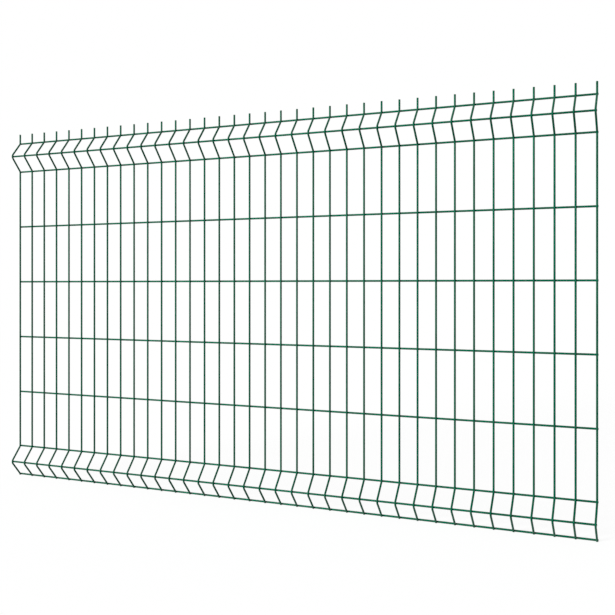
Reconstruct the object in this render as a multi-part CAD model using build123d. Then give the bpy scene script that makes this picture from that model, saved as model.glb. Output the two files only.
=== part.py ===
from build123d import *
from math import radians, tan
import os

# Welded mesh fence panel with two V-shaped folds, in millimetres.
# +X runs along the panel from its left edge wire, +Y from the front, where the folds stand out,
# to the back, and +Z up. The back plane at Y = 0 is where the horizontal wires bear on a post,
# and the origin lies in it, on the foot wire behind the left edge wire.

# Wire
wire_diameter = 6.0
wire_sides = 8
weld_depth = 0.8

# Grid of the mesh
vertical_count = 37
vertical_pitch = 55.5
field_row_count = 4
field_row_pitch = 200.0
top_gap = 200.0
bottom_gap = 197.5
row_overhang = 0.5

# Folds
fold_depth = 43.2
fold_row_pitch = 51.2
bend_offset = 0.8
apex_radius = 12.0

# Free upper ends of the vertical wires
barb_length = 33.4

# Planes of the wires' centres
row_plane = -wire_diameter / 2
wire_spacing = wire_diameter - weld_depth
mesh_plane = row_plane - wire_spacing
fold_plane = mesh_plane - fold_depth

# Heights of the horizontal wires and of the vertical ones' ends
foot_height = 0.0
bottom_apex_height = foot_height + fold_row_pitch
bottom_head_height = bottom_apex_height + fold_row_pitch
first_row_height = bottom_head_height + bottom_gap
last_row_height = first_row_height + (field_row_count - 1) * field_row_pitch
top_foot_height = last_row_height + top_gap
top_apex_height = top_foot_height + fold_row_pitch
top_height = top_apex_height + fold_row_pitch
barb_tip_height = top_height + barb_length
lower_end_height = foot_height - wire_diameter / 2

across = Vector(1, 0, 0)


def wire_section(plane):
    """Section of a wire: its circle as a polygon with flats to the front and back."""
    polygon = RegularPolygon(wire_diameter / 2, wire_sides, major_radius=False, rotation=180 / wire_sides)
    return plane * polygon


def fold(lower_row_height, apex_height, upper_row_height):
    """Corners of a V fold. Its outer bends lie just inside the rows above and below it.

    A flat facet stands for the round bend at its apex, and touches the middle of it.
    """
    lower = Vector(0, mesh_plane, lower_row_height + bend_offset)
    apex = Vector(0, fold_plane, apex_height)
    upper = Vector(0, mesh_plane, upper_row_height - bend_offset)
    way_in = (apex - lower).normalized()
    way_out = (upper - apex).normalized()
    turn = radians(way_in.get_angle(way_out))
    setback = apex_radius * (tan(turn / 2) - tan(turn / 4))
    return [lower, apex - way_in * setback, apex + way_out * setback, upper]


def vertical_wires():
    """The bent wires, each from its end flush with the foot wire to its barb above the top wire."""
    route = [
        Vector(0, mesh_plane, lower_end_height),
        *bottom_fold,
        *top_fold,
        Vector(0, mesh_plane, barb_tip_height),
    ]
    start = Plane(origin=route[0], x_dir=across, z_dir=Vector(0, 0, 1))
    wire = sweep(wire_section(start), Polyline(*route), transition=Transition.RIGHT)
    return [Pos(X=column * vertical_pitch) * wire for column in range(vertical_count)]


def behind_apex(corners):
    """Centre of the horizontal wire welded to the back of a fold's apex."""
    _, lower, upper, _ = corners
    backward = (upper - lower).normalized().cross(across)
    return (lower + upper) / 2 + backward * wire_spacing


def row_centres():
    """Centres of the horizontal wires at the left edge wire."""
    field_rows = [first_row_height + row * field_row_pitch for row in range(field_row_count)]
    flat_rows = [foot_height, bottom_head_height, *field_rows, top_foot_height, top_height]
    centres = [Vector(0, row_plane, height) for height in flat_rows]
    return centres + [behind_apex(bottom_fold), behind_apex(top_fold)]


def horizontal_wires():
    """The straight wires, which end just past the outer sides of the edge wires."""
    end_distance = wire_diameter / 2 + row_overhang
    length = (vertical_count - 1) * vertical_pitch + 2 * end_distance
    rows = []
    for centre in row_centres():
        start = Plane(origin=centre - across * end_distance, x_dir=(0, 1, 0), z_dir=across)
        rows.append(extrude(wire_section(start), amount=length))
    return rows


def mesh_panel():
    """The whole panel: one mesh of wires, welded together at every crossing."""
    first, *others = vertical_wires() + horizontal_wires()
    return first.fuse(*others)


bottom_fold = fold(foot_height, bottom_apex_height, bottom_head_height)
top_fold = fold(top_foot_height, top_apex_height, top_height)

os.makedirs("parts", exist_ok=True)
export_step(mesh_panel(), "parts/mesh_panel.step")
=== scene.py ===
"""Looks of the welded mesh fence panel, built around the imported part. All lengths are in metres."""

import math

import bpy
import numpy as np
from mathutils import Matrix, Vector


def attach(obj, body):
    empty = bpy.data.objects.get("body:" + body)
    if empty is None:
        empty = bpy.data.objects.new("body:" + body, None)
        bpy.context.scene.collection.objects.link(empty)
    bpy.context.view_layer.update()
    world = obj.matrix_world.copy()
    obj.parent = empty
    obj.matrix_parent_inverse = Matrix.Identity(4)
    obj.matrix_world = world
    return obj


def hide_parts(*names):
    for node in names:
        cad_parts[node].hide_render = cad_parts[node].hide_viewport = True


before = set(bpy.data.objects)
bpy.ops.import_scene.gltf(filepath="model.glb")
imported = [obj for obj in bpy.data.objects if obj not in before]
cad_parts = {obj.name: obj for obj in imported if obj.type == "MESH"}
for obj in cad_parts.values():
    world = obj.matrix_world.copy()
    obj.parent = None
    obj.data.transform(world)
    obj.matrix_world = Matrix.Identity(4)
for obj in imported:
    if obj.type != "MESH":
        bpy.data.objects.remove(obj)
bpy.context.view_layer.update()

MM = 0.001

# Wire
WIRE_RADIUS = 3.0 * MM
WELD_DEPTH = 0.8 * MM
END_ROUNDING = 0.7 * MM
COAT_FILLET = 1.2 * MM
END_CLEARANCE = 0.25 * MM

# Grid of the mesh
VERTICAL_COUNT = 37
VERTICAL_PITCH = 55.5 * MM
FIELD_ROW_COUNT = 4
FIELD_ROW_PITCH = 200 * MM
TOP_GAP = 200 * MM
BOTTOM_GAP = 197.5 * MM
ROW_OVERHANG = 0.5 * MM

# Folds
FOLD_DEPTH = 43.2 * MM
FOLD_ROW_PITCH = 51.2 * MM
BEND_OFFSET = 0.8 * MM
APEX_RADIUS = 12 * MM
OUTER_RADIUS = 10 * MM

# Free upper ends of the vertical wires
BARB_LENGTH = 33.4 * MM

# Planes of the wires' centres
ROW_PLANE = -WIRE_RADIUS
WIRE_SPACING = 2 * WIRE_RADIUS - WELD_DEPTH
MESH_PLANE = ROW_PLANE - WIRE_SPACING
FOLD_PLANE = MESH_PLANE - FOLD_DEPTH

# Heights of the horizontal wires, and the ends of those wires
FOOT_HEIGHT = 0.0
BOTTOM_APEX_HEIGHT = FOOT_HEIGHT + FOLD_ROW_PITCH
BOTTOM_HEAD_HEIGHT = BOTTOM_APEX_HEIGHT + FOLD_ROW_PITCH
FIELD_HEIGHTS = [BOTTOM_HEAD_HEIGHT + BOTTOM_GAP + row * FIELD_ROW_PITCH for row in range(FIELD_ROW_COUNT)]
TOP_FOOT_HEIGHT = FIELD_HEIGHTS[-1] + TOP_GAP
TOP_APEX_HEIGHT = TOP_FOOT_HEIGHT + FOLD_ROW_PITCH
TOP_HEIGHT = TOP_APEX_HEIGHT + FOLD_ROW_PITCH
BARB_TIP_HEIGHT = TOP_HEIGHT + BARB_LENGTH
LOWER_END_HEIGHT = FOOT_HEIGHT - WIRE_RADIUS + END_CLEARANCE
LEFT_END = -WIRE_RADIUS - ROW_OVERHANG + END_CLEARANCE
RIGHT_END = (VERTICAL_COUNT - 1) * VERTICAL_PITCH - LEFT_END

# Fineness of the meshes
SIDES = 16
CONTACT_SIDE = 4
ACROSS_SPANS = 6
FLAT_SPANS = 6
APEX_SPANS = 8
BRIDGE_LOOPS = 3
END_STEPS = 2
BEND_STEPS = 48
BEND_SPANS = 8
RING_GAP = 0.3 * MM
SHARP_ANGLE = math.radians(60)
COAT_ROUNDS = 30
WELD_MARGIN = 0.8 * MM
TURN_MARGIN = math.radians(15)
COAT_RINGS = (0.9 * MM, 2.0 * MM)

# Bends at whose middle a horizontal wire is welded on, counted from the foot
BOTTOM_APEX_BEND = 1
TOP_APEX_BEND = 4

# Flat layout of each piece for a bake: a strip to each wire and a small one to each weld
LAYOUT_NAME = "OFBake"
LAYOUT_WIDTH = 2050 * MM
LAYOUT_GAP = (3 * MM, 1 * MM)
NECK_STEP = (1.2 * MM, 0.7 * MM)

# Plastic coat: moss green, in linear colour, with soft clouds, a fine mottle and an orange-peel skin
DEEP_GREEN = (0.001, 0.077, 0.036, 1)
LIGHT_GREEN = (0.002, 0.111, 0.054, 1)
MOTTLE_LIGHTEST = 1.12
MOTTLE_DARKEST = 0.86
GLOSS_TINT = (0.12, 1.0, 0.6, 1)
GLOSS_LEVEL = 0.25
SMOOTHEST = 0.3
ROUGHEST = 0.42
CLOUDS_PER_METRE = 8
CLOUD_DETAIL = 2
PATCHES_PER_METRE = 70
PATCH_DETAIL = 3
NOISE_SPAN = (0.35, 0.65)
GRAINS_PER_METRE = 650
GRAIN_DETAIL = 1
GRAIN_SPAN = (0.3, 0.7)
PEEL_DEPTH = 0.03 * MM
PEEL_STRENGTH = 0.6

# Light: a lamp at the front left, and a soft room that is brighter on the lamp's side
LAMP_SIDE = (-0.45, -0.89, 0.25)
LAMP_STRENGTH = 3.0
LAMP_SPREAD = math.radians(18)
NEAR_LEVEL = 0.26
FAR_LEVEL = 0.12

# Floor: dark where it throws light up, and white with a faint shadow to the camera and in reflections
WHITE = (1, 1, 1, 1)
FLOOR_REACH = 10.0
FLOOR_THROW = 0.03
FLOOR_SHADING = 0.35

# Camera, level and to the right of the panel's middle, as the photo's straight parallel verticals show
CAMERA_PLACE = (2229.2 * MM, -2443.7 * MM, 685.9 * MM)
CAMERA_TURN = 0.42509
SENSOR_WIDTH = 36.0
FOCAL_LENGTH = 50.391
IMAGE_SIDE = 615
OPTICAL_CENTRE = (301.85, 285.59)


def unit(vector):
    return vector / np.linalg.norm(vector, axis=-1, keepdims=True)


def along(angle):
    """Direction of travel in the YZ plane."""
    return np.stack([np.cos(angle), np.sin(angle)], axis=-1)


def backward(angle):
    """Direction square to the travel, towards the panel's back where the travel is upward."""
    return np.stack([np.sin(angle), -np.cos(angle)], axis=-1)


class Route:
    """Centre line of a vertical wire in the YZ plane: straight runs joined by round bends.

    It goes on by SPARE past both ends, so that points beyond an end find their place on it too.
    """

    SPARE = 20 * MM
    SEARCH_ROUNDS = 8

    def __init__(self, *corners):
        corners = np.array(corners)
        runs = unit(np.diff(corners, axis=0))
        angles = np.arctan2(runs[:, 1], runs[:, 0])
        points = [corners[0] - runs[0] * self.SPARE]
        directions = [angles[0]]
        for corner, way_in, way_out in zip(corners[1:], angles, angles[1:]):
            turn = way_out - way_in
            size = APEX_RADIUS if corner[0] == FOLD_PLANE else OUTER_RADIUS
            radius = math.copysign(size, turn)
            start = corner - along(way_in) * radius * math.tan(turn / 2)
            centre = start - backward(way_in) * radius
            for angle in np.linspace(way_in, way_out, BEND_STEPS + 1):
                points.append(centre + backward(angle) * radius)
                directions.append(angle)
        points.append(corners[-1] + runs[-1] * self.SPARE)
        directions.append(angles[-1])
        self.points = np.array(points)
        self.directions = np.array(directions)
        steps = np.linalg.norm(np.diff(self.points, axis=0), axis=1)
        self.distances = np.append(0, np.cumsum(steps)) - self.SPARE
        self.length = self.distances[-1] - self.SPARE

    def place(self, distance):
        """Point and direction of travel at each distance along the line."""
        y = np.interp(distance, self.distances, self.points[:, 0])
        z = np.interp(distance, self.distances, self.points[:, 1])
        return np.stack([y, z], axis=-1), np.interp(distance, self.distances, self.directions)

    def nearest(self, yz, guess):
        """Distance along the line at which it passes nearest to each point."""
        distance = guess
        for _ in range(self.SEARCH_ROUNDS):
            point, angle = self.place(distance)
            distance = distance + ((yz - point) * along(angle)).sum(axis=-1)
        return distance

    def at_height(self, height):
        return np.interp(height, self.points[:, 1], self.distances)

    def bend_middle(self, corner):
        """Distance along the line of the middle of a bend, counted from the foot."""
        return self.distances[1 + corner * (BEND_STEPS + 1) + BEND_STEPS // 2]

    def turning(self, low, high):
        """Distances at which the bends are divided into their spans, from low to high.

        RING_GAP keeps them clear of the rings at low and high themselves.
        """
        bends = self.distances[1:-1].reshape(-1, BEND_STEPS + 1)
        divisions = bends[:, ::BEND_STEPS // BEND_SPANS].ravel()
        return [place for place in divisions if low + RING_GAP < place < high - RING_GAP]


class Row:
    """A horizontal wire, and how it lies against the back of the vertical ones.

    REACH is how far from one wire's centre line the other's surface is still joined to it by the coat.
    """

    REACH = WIRE_RADIUS + COAT_FILLET / 2
    SEARCH = 8 * MM
    SAMPLES = 1601

    def __init__(self, centre, distance, spans):
        self.centre = centre
        self.distance = route.nearest(centre, distance)
        self.spans = spans
        point, angle = route.place(self.distance)
        self.away = unit(centre - point)
        self.upward = along(angle)
        self.middle = (point + centre) / 2
        self.half_length = self.joined_length() + WELD_MARGIN
        self.half_turn = self.joined_turn() + TURN_MARGIN
        self.half_width = math.sqrt(self.REACH**2 - (np.linalg.norm(centre - point) - WIRE_RADIUS)**2)
        self.half_width += WELD_MARGIN

    def joined_length(self):
        """How far along the vertical wire's back the two wires are joined, each way."""
        offsets = np.linspace(-self.SEARCH, self.SEARCH, self.SAMPLES)
        points, angles = route.place(self.distance + offsets)
        surface = points + backward(angles) * WIRE_RADIUS
        joined = np.linalg.norm(surface - self.centre, axis=1) < self.REACH
        return np.abs(offsets[joined]).max()

    def joined_turn(self):
        """How far round the horizontal wire the two wires are joined, each way."""
        turns = np.linspace(-math.pi / 2, math.pi / 2, self.SAMPLES)[:, None]
        surface = self.centre + WIRE_RADIUS * (np.sin(turns) * self.upward - np.cos(turns) * self.away)
        points, _ = route.place(route.nearest(surface, self.distance))
        joined = np.linalg.norm(surface - points, axis=1) < self.REACH
        return np.abs(turns[joined]).max()

    def side_angles(self):
        """Angles of the points of a ring, with the joined part divided into this row's own spans."""
        low = CONTACT_SIDE - self.spans // 2
        turn_low = math.pi / 2 - self.half_turn
        grip = np.linspace(turn_low, math.pi - turn_low, self.spans + 1)
        rest = np.linspace(math.pi - turn_low, 2 * math.pi + turn_low, SIDES - self.spans + 1)
        return np.roll(np.append(grip[:-1], rest[:-1]), low)


def flat_row(height):
    return Row(np.array([ROW_PLANE, height]), route.at_height(height), FLAT_SPANS)


def apex_row(corner):
    distance = route.bend_middle(corner)
    point, angle = route.place(distance)
    return Row(point + backward(angle) * WIRE_SPACING, distance, APEX_SPANS)


def end_rings():
    """Distance from the cut face, and radius, of the rings of a coated wire end, from its middle out."""
    flat = WIRE_RADIUS - END_ROUNDING
    rings = [(0.0, flat / 2)]
    for turn in np.linspace(math.pi / 2, 0, END_STEPS + 1):
        rings.append((END_ROUNDING * (1 - math.sin(turn)), flat + END_ROUNDING * math.cos(turn)))
    return rings


def vertical_rings(rows, low, high):
    """Rings of a vertical wire's stretch as (distance, radius), and where each row's weld begins."""
    rings = end_rings() if low == 0 else [(low, WIRE_RADIUS)]
    welds = []
    reached = low
    for row in rows:
        bottom = row.distance - row.half_length
        top = row.distance + row.half_length
        if bottom < END_ROUNDING:
            # The foot's weld reaches down to the rim of the cut face, over the end's own rings.
            welds.append(1)
            places = np.linspace(END_ROUNDING, top, row.spans - END_STEPS + 1)[1:]
        else:
            places = np.linspace(bottom, top, row.spans + 1)
            rings += [(place, WIRE_RADIUS) for place in route.turning(reached, bottom - COAT_RINGS[-1])]
            rings += [(bottom - ring, WIRE_RADIUS) for ring in reversed(COAT_RINGS)]
            welds.append(len(rings))
        rings += [(place, WIRE_RADIUS) for place in places]
        rings += [(top + ring, WIRE_RADIUS) for ring in COAT_RINGS]
        reached = top + COAT_RINGS[-1]
    rings += [(place, WIRE_RADIUS) for place in route.turning(reached, high)]
    if high < route.length:
        rings.append((high, WIRE_RADIUS))
    else:
        rings += [(high - distance, radius) for distance, radius in reversed(end_rings())]
    return np.array(rings), welds


def horizontal_rings(row):
    """Rings of a horizontal wire as (x, radius), and where the weld on each vertical wire begins."""
    rings = [(LEFT_END + distance, radius) for distance, radius in end_rings()]
    welds = []
    for column in range(VERTICAL_COUNT):
        left = column * VERTICAL_PITCH - row.half_width
        right = column * VERTICAL_PITCH + row.half_width
        if column == 0:
            left = rings.pop()[0]
        else:
            rings += [(left - ring, WIRE_RADIUS) for ring in reversed(COAT_RINGS)]
        if column == VERTICAL_COUNT - 1:
            right = RIGHT_END - END_ROUNDING
        welds.append(len(rings))
        rings += [(place, WIRE_RADIUS) for place in np.linspace(left, right, ACROSS_SPANS + 1)]
        if column < VERTICAL_COUNT - 1:
            rings += [(right + ring, WIRE_RADIUS) for ring in COAT_RINGS]
    rings += [(RIGHT_END - distance, radius) for distance, radius in reversed(end_rings()[:-1])]
    return np.array(rings), welds


def wire_field(spread, overshoot):
    """Distance to the surface of a wire with rounded ends, from those to its centre line and its end."""
    side = spread - (WIRE_RADIUS - END_ROUNDING)
    end = overshoot + END_ROUNDING
    outside = np.hypot(np.maximum(side, 0), np.maximum(end, 0))
    return outside + np.minimum(np.maximum(side, end), 0) - END_ROUNDING


def vertical_field(points, column_x, guess):
    yz = points[:, 1:]
    distance = route.nearest(yz, guess)
    centre, _ = route.place(distance)
    spread = np.hypot(points[:, 0] - column_x, np.linalg.norm(yz - centre, axis=1))
    return wire_field(spread, np.maximum(-distance, distance - route.length))


def horizontal_field(points, centre):
    spread = np.linalg.norm(points[:, 1:] - centre, axis=1)
    return wire_field(spread, np.maximum(LEFT_END - points[:, 0], points[:, 0] - RIGHT_END))


def coated(points, origins, column_x, centre, guess):
    """The points moved onto the coat, which rounds the corner between two crossing wires.

    Each point moves on the ray from its origin, inside the wires, so neighbours keep their order.
    """
    rays = unit(points - origins)
    reach = np.linalg.norm(points - origins, axis=1)
    for _ in range(COAT_ROUNDS):
        points = origins + rays * reach[:, None]
        upright = vertical_field(points, column_x, guess)
        level = horizontal_field(points, centre)
        share = np.clip(0.5 + 0.5 * (level - upright) / COAT_FILLET, 0, 1)
        reach = reach - level * (1 - share) - upright * share + COAT_FILLET * share * (1 - share)
    return origins + rays * reach[:, None]


def quads_between(lines, shifted):
    """The corner numbers of the quads between each line of points and the next."""
    return np.stack([lines[:-1], shifted[:-1], shifted[1:], lines[1:]], axis=-1)


def flat_quads(run, side):
    """The flat places of the corners of those quads."""
    grid = np.stack(np.meshgrid(run, side, indexing="ij"), axis=-1)
    return np.stack([grid[:-1, :-1], grid[:-1, 1:], grid[1:, 1:], grid[1:, :-1]], axis=-2)


def laid_out(islands):
    """All islands side by side in lines, stretched to fill the whole square."""
    left, bottom, depth = 0, 0, 0
    placed = []
    for island in islands:
        width, height = np.ptp(island, axis=0) + LAYOUT_GAP
        if left + width > LAYOUT_WIDTH:
            left, bottom, depth = 0, bottom + depth, 0
        placed.append(island - island.min(axis=0) + (left, bottom))
        left += width
        depth = max(depth, height)
    places = np.concatenate(placed)
    return places / places.max(axis=0)


class Skin:
    """The growing surface of one piece: points with what they lie near, and faces."""

    def __init__(self):
        self.points = []
        self.origins = []
        self.column_x = []
        self.centres = []
        self.guesses = []
        self.faces = []
        self.islands = []
        self.total = 0

    def add(self, points, origins, column_x, centre, guess):
        """Adds a grid of points and returns the grid of their numbers."""
        shape = points.shape[:-1]
        count = int(np.prod(shape))
        self.points.append(points.reshape(count, 3))
        self.origins.append(np.broadcast_to(origins, points.shape).reshape(count, 3))
        self.column_x.append(np.broadcast_to(column_x, shape).reshape(count))
        self.centres.append(np.broadcast_to(centre, (*shape, 2)).reshape(count, 2))
        self.guesses.append(np.broadcast_to(guess, shape).reshape(count))
        numbers = np.arange(self.total, self.total + count).reshape(shape)
        self.total += count
        return numbers

    def add_tube(self, numbers, open_faces, rings):
        """Quads between the rings of a wire, but for the open ones, and a cap at each end."""
        self.faces += quads_between(numbers, np.roll(numbers, -1, axis=1))[~open_faces].tolist()
        self.faces.append(numbers[0, ::-1].tolist())
        self.faces.append(numbers[-1].tolist())
        steps = np.diff(rings, axis=0)
        run = np.append(0, np.cumsum(np.hypot(*steps.T)))
        flat = flat_quads(run, -np.arange(SIDES + 1) * 2 * math.pi * WIRE_RADIUS / SIDES)[~open_faces]
        turn = np.arange(SIDES) * 2 * math.pi / SIDES
        disc = np.column_stack([np.cos(turn), np.sin(turn) - math.pi]) * WIRE_RADIUS
        first = disc - (2 * WIRE_RADIUS, 0)
        last = disc + (run[-1] + 2 * WIRE_RADIUS, 0)
        self.islands.append(np.concatenate([flat.reshape(-1, 2), first, last]))

    def add_bridge(self, loops):
        """Quads from loop to loop."""
        loops = np.array(loops)
        self.faces += quads_between(loops, np.roll(loops, -1, axis=1)).reshape(-1, 4).tolist()
        across, around = loops.shape
        flat = flat_quads(np.arange(across) * NECK_STEP[1], np.arange(around + 1) * NECK_STEP[0])
        self.islands.append(flat.reshape(-1, 2)[:, ::-1])

    def coat(self):
        """Moves all points onto the coat, and returns them."""
        parts = (self.points, self.origins, self.column_x, self.centres, self.guesses)
        points = coated(*(np.concatenate(part) for part in parts))
        self.points = [points]
        return points


def border(grid):
    """The numbers round the edge of a grid."""
    return np.concatenate([grid[:-1, 0], grid[-1, :-1], grid[:0:-1, -1], grid[0, :0:-1]])


def add_verticals(skin, rows, low, high):
    """The vertical wires between two distances; returns each column's loops round its welds."""
    rings, welds = vertical_rings(rows, low, high)
    distances, radii = rings.T
    centres, angles = route.place(distances)
    sides = np.arange(SIDES) * 2 * math.pi / SIDES
    ring_x = radii[:, None] * np.cos(sides)
    ring_yz = centres[:, None] + (radii[:, None] * np.sin(sides))[..., None] * backward(angles)[:, None]
    origins_yz, _ = route.place(np.clip(distances, WIRE_RADIUS, route.length - WIRE_RADIUS))
    middles = np.array([row.distance for row in rows])
    nearest = np.abs(distances[:, None] - middles).argmin(axis=1)
    row_centres = np.array([row.centre for row in rows])[nearest][:, None]
    open_faces = np.zeros((len(rings) - 1, SIDES), bool)
    first_side = CONTACT_SIDE - ACROSS_SPANS // 2
    for row, weld in zip(rows, welds):
        open_faces[weld:weld + row.spans, first_side:first_side + ACROSS_SPANS] = True
    loops = []
    for column in range(VERTICAL_COUNT):
        x = column * VERTICAL_PITCH
        points = np.concatenate([(ring_x + x)[..., None], ring_yz], axis=-1)
        origins = np.insert(origins_yz, 0, x, axis=1)[:, None]
        numbers = skin.add(points, origins, x, row_centres, distances[:, None])
        skin.add_tube(numbers, open_faces, rings)
        around = numbers[:, first_side:first_side + ACROSS_SPANS + 1]
        loops.append([border(around[weld:weld + row.spans + 1][::-1]) for row, weld in zip(rows, welds)])
    return loops


def add_horizontal(skin, row):
    """One horizontal wire; returns the loops round its welds."""
    rings, welds = horizontal_rings(row)
    places, radii = rings.T
    angles = row.side_angles()
    around = np.cos(angles)[:, None] * row.upward - np.sin(angles)[:, None] * row.away
    ring_yz = row.centre + radii[:, None, None] * around
    ring_x = np.broadcast_to(places[:, None, None], (len(rings), SIDES, 1))
    column = np.clip(np.rint(places / VERTICAL_PITCH), 0, VERTICAL_COUNT - 1)
    points = np.concatenate([ring_x, ring_yz], axis=-1)
    origin_x = np.clip(places, LEFT_END + WIRE_RADIUS, RIGHT_END - WIRE_RADIUS)
    origins = np.insert(np.tile(row.centre, (len(rings), 1)), 0, origin_x, axis=1)[:, None]
    numbers = skin.add(points, origins, (column * VERTICAL_PITCH)[:, None], row.centre, row.distance)
    open_faces = np.zeros((len(rings) - 1, SIDES), bool)
    first_side = CONTACT_SIDE - row.spans // 2
    grips = []
    for weld in welds:
        open_faces[weld:weld + ACROSS_SPANS, first_side:first_side + row.spans] = True
        grip = numbers[weld:weld + ACROSS_SPANS + 1, first_side:first_side + row.spans + 1]
        grips.append(border(grip[::-1].T))
    skin.add_tube(numbers, open_faces, rings)
    return grips


def add_welds(skin, rows, upright_loops, level_loops):
    """The necks of metal and coat that join the crossing wires."""
    points = skin.coat()
    shares = (np.arange(1, BRIDGE_LOOPS + 1) / (BRIDGE_LOOPS + 1))[:, None, None]
    for column in range(VERTICAL_COUNT):
        for place, row in enumerate(rows):
            near = upright_loops[column][place]
            far = level_loops[place][column]
            between = points[near] + shares * (points[far] - points[near])
            middle = np.insert(row.middle, 0, column * VERTICAL_PITCH)
            numbers = skin.add(between, middle, column * VERTICAL_PITCH, row.centre, row.distance)
            skin.add_bridge([near, *numbers, far])


def make_object(name, points, faces):
    """A smoothly shaded object, but for the rims of its flat cut faces, which are crisp."""
    mesh = bpy.data.meshes.new(name)
    mesh.from_pydata(points.tolist(), [], faces)
    mesh.update()
    mesh.shade_smooth()
    mesh.set_sharp_from_angle(angle=SHARP_ANGLE)
    piece = bpy.data.objects.new(name, mesh)
    bpy.context.scene.collection.objects.link(piece)
    return piece


def zone(name, rows, low, high):
    """One closed mesh of all wires in a zone of the panel, welded at every crossing."""
    skin = Skin()
    upright_loops = add_verticals(skin, rows, low, high)
    level_loops = [add_horizontal(skin, row) for row in rows]
    add_welds(skin, rows, upright_loops, level_loops)
    points = skin.coat()
    used = np.unique(np.concatenate([np.array(face) for face in skin.faces]))
    renumber = np.zeros(len(points), int)
    renumber[used] = np.arange(len(used))
    faces = [renumber[face].tolist() for face in skin.faces]
    piece = make_object(name, points[used], faces)
    layout = piece.data.uv_layers.new(name=LAYOUT_NAME)
    layout.data.foreach_set("uv", laid_out(skin.islands).ravel())
    return piece


route = Route(
    (MESH_PLANE, LOWER_END_HEIGHT),
    (MESH_PLANE, FOOT_HEIGHT + BEND_OFFSET),
    (FOLD_PLANE, BOTTOM_APEX_HEIGHT),
    (MESH_PLANE, BOTTOM_HEAD_HEIGHT - BEND_OFFSET),
    (MESH_PLANE, TOP_FOOT_HEIGHT + BEND_OFFSET),
    (FOLD_PLANE, TOP_APEX_HEIGHT),
    (MESH_PLANE, TOP_HEIGHT - BEND_OFFSET),
    (MESH_PLANE, BARB_TIP_HEIGHT),
)
bottom_rows = [flat_row(FOOT_HEIGHT), apex_row(BOTTOM_APEX_BEND), flat_row(BOTTOM_HEAD_HEIGHT)]
field_rows = [flat_row(height) for height in FIELD_HEIGHTS]
top_rows = [flat_row(TOP_FOOT_HEIGHT), apex_row(TOP_APEX_BEND), flat_row(TOP_HEIGHT)]
bottom_cut = route.at_height(BOTTOM_HEAD_HEIGHT + BOTTOM_GAP / 2)
top_cut = route.at_height(TOP_FOOT_HEIGHT - TOP_GAP / 2)

pieces = [
    zone("bottom_fold", bottom_rows, 0, bottom_cut),
    zone("field", field_rows, bottom_cut, top_cut),
    zone("top_fold", top_rows, top_cut, route.length),
]


class Tree:
    """A node tree, with short ways to add its nodes and links."""

    def __init__(self, owner):
        owner.use_nodes = True
        self.nodes = owner.node_tree.nodes
        self.links = owner.node_tree.links

    def add(self, kind, **settings):
        node = self.nodes.new(kind)
        for name, value in settings.items():
            setattr(node, name, value)
        return node

    def join(self, output, socket):
        self.links.new(output, socket)

    def noise(self, place, per_metre, detail):
        node = self.add("ShaderNodeTexNoise")
        node.inputs["Scale"].default_value = per_metre
        node.inputs["Detail"].default_value = detail
        self.join(place, node.inputs["Vector"])
        return node.outputs["Fac"]

    def ranged(self, value, low, high, first, last):
        """The value's range from low to high, turned into the one from first to last."""
        node = self.add("ShaderNodeMapRange")
        node.inputs["From Min"].default_value = low
        node.inputs["From Max"].default_value = high
        node.inputs["To Min"].default_value = first
        node.inputs["To Max"].default_value = last
        self.join(value, node.inputs["Value"])
        return node.outputs["Result"]

    def seen_directly(self):
        """1 for what the camera sees, straight, in a reflection or through glass, and 0 for light."""
        path = self.add("ShaderNodeLightPath")
        total = path.outputs["Is Camera Ray"]
        for other in ("Is Glossy Ray", "Is Transmission Ray"):
            either = self.add("ShaderNodeMath", operation="MAXIMUM")
            self.join(total, either.inputs[0])
            self.join(path.outputs[other], either.inputs[1])
            total = either.outputs[0]
        return total


def coated_wire():
    """Moss green plastic coat, satin, with an orange-peel skin."""
    material = bpy.data.materials.new("coated_wire")
    tree = Tree(material)
    shader = tree.nodes["Principled BSDF"]
    place = tree.add("ShaderNodeTexCoord").outputs["Object"]
    clouds = tree.noise(place, CLOUDS_PER_METRE, CLOUD_DETAIL)
    patches = tree.noise(place, PATCHES_PER_METRE, PATCH_DETAIL)
    grains = tree.noise(place, GRAINS_PER_METRE, GRAIN_DETAIL)
    green = tree.add("ShaderNodeMix", data_type="RGBA")
    green.inputs["A"].default_value = DEEP_GREEN
    green.inputs["B"].default_value = LIGHT_GREEN
    tree.join(tree.ranged(clouds, *NOISE_SPAN, 0, 1), green.inputs["Factor"])
    mottled = tree.add("ShaderNodeVectorMath", operation="SCALE")
    tree.join(green.outputs["Result"], mottled.inputs[0])
    mottle = tree.ranged(grains, *GRAIN_SPAN, MOTTLE_DARKEST, MOTTLE_LIGHTEST)
    tree.join(mottle, mottled.inputs["Scale"])
    tree.join(mottled.outputs["Vector"], shader.inputs["Base Color"])
    tree.join(tree.ranged(patches, *NOISE_SPAN, SMOOTHEST, ROUGHEST), shader.inputs["Roughness"])
    peel = tree.add("ShaderNodeBump")
    peel.inputs["Strength"].default_value = PEEL_STRENGTH
    peel.inputs["Distance"].default_value = PEEL_DEPTH
    tree.join(grains, peel.inputs["Height"])
    tree.join(peel.outputs["Normal"], shader.inputs["Normal"])
    shader.inputs["Specular IOR Level"].default_value = GLOSS_LEVEL
    shader.inputs["Specular Tint"].default_value = GLOSS_TINT
    return material


coat = coated_wire()
for piece in pieces:
    piece.data.materials.append(coat)
    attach(piece, "root")
    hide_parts("mesh_panel")


def light_on_floor():
    """How bright a white floor would be with nothing on it: the lamp's share and the room's.

    The room's light grows evenly towards the lamp's side, and a level surface gets two thirds of
    what it grows by towards the zenith.
    """
    rise = Vector(LAMP_SIDE).normalized().z
    lamp = LAMP_STRENGTH * rise / math.pi
    middle = (NEAR_LEVEL + FAR_LEVEL) / 2
    growth = (NEAR_LEVEL - FAR_LEVEL) / 2 * rise
    return lamp + middle + growth * 2 / 3


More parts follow.
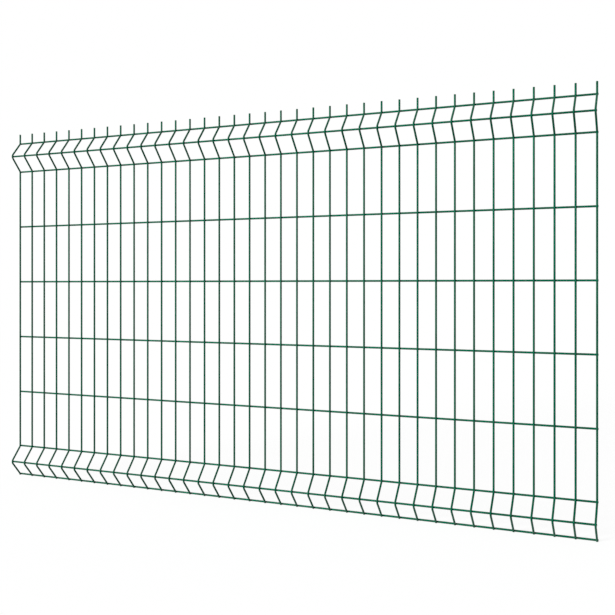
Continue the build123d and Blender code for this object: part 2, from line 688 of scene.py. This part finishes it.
def add_floor():
    """A level floor that touches the foot wire and keeps the panel's shadow."""
    middle = (VERTICAL_COUNT - 1) * VERTICAL_PITCH / 2
    corners = [(-1, -1), (1, -1), (1, 1), (-1, 1)]
    points = [(middle + x * FLOOR_REACH, y * FLOOR_REACH, FOOT_HEIGHT - WIRE_RADIUS) for x, y in corners]
    floor = make_object("floor", np.array(points), [[0, 1, 2, 3]])
    material = bpy.data.materials.new("floor")
    tree = Tree(material)
    shader = tree.nodes["Principled BSDF"]
    shader.inputs["Roughness"].default_value = 1
    shader.inputs["Specular IOR Level"].default_value = 0
    shader.inputs["Emission Color"].default_value = WHITE
    seen = tree.seen_directly()
    tree.join(tree.ranged(seen, 0, 1, FLOOR_THROW, FLOOR_SHADING), shader.inputs["Base Color"])
    glow = 1 - FLOOR_SHADING * light_on_floor()
    tree.join(tree.ranged(seen, 0, 1, 0, glow), shader.inputs["Emission Strength"])
    floor.data.materials.append(material)


def add_room():
    """White to the camera and in reflections, and a soft light that is brighter on the lamp's side."""
    room = bpy.data.worlds.new("room")
    tree = Tree(room)
    bpy.context.scene.world = room
    facing = tree.add("ShaderNodeVectorMath", operation="DOT_PRODUCT")
    facing.inputs[1].default_value = Vector(LAMP_SIDE).normalized()
    tree.join(tree.add("ShaderNodeTexCoord").outputs["Generated"], facing.inputs[0])
    strength = tree.add("ShaderNodeMix")
    strength.inputs["B"].default_value = 1
    tree.join(tree.ranged(facing.outputs["Value"], -1, 1, FAR_LEVEL, NEAR_LEVEL), strength.inputs["A"])
    tree.join(tree.seen_directly(), strength.inputs["Factor"])
    background = tree.nodes["Background"]
    background.inputs["Color"].default_value = WHITE
    tree.join(strength.outputs["Result"], background.inputs["Strength"])


def add_lamp():
    data = bpy.data.lights.new("key", "SUN")
    data.energy = LAMP_STRENGTH
    data.angle = LAMP_SPREAD
    lamp = bpy.data.objects.new("key", data)
    lamp.rotation_euler = Vector(LAMP_SIDE).to_track_quat("Z", "Y").to_euler()
    bpy.context.scene.collection.objects.link(lamp)


def add_camera():
    data = bpy.data.cameras.new("camera")
    data.sensor_width = SENSOR_WIDTH
    data.lens = FOCAL_LENGTH
    data.shift_x = (IMAGE_SIDE / 2 - OPTICAL_CENTRE[0]) / IMAGE_SIDE
    data.shift_y = (OPTICAL_CENTRE[1] - IMAGE_SIDE / 2) / IMAGE_SIDE
    view = bpy.data.objects.new("camera", data)
    view.location = CAMERA_PLACE
    view.rotation_euler = (math.pi / 2, 0, CAMERA_TURN)
    bpy.context.scene.collection.objects.link(view)
    bpy.context.scene.camera = view


add_floor()
add_room()
add_lamp()
add_camera()
bpy.context.scene.view_settings.view_transform = "Standard"
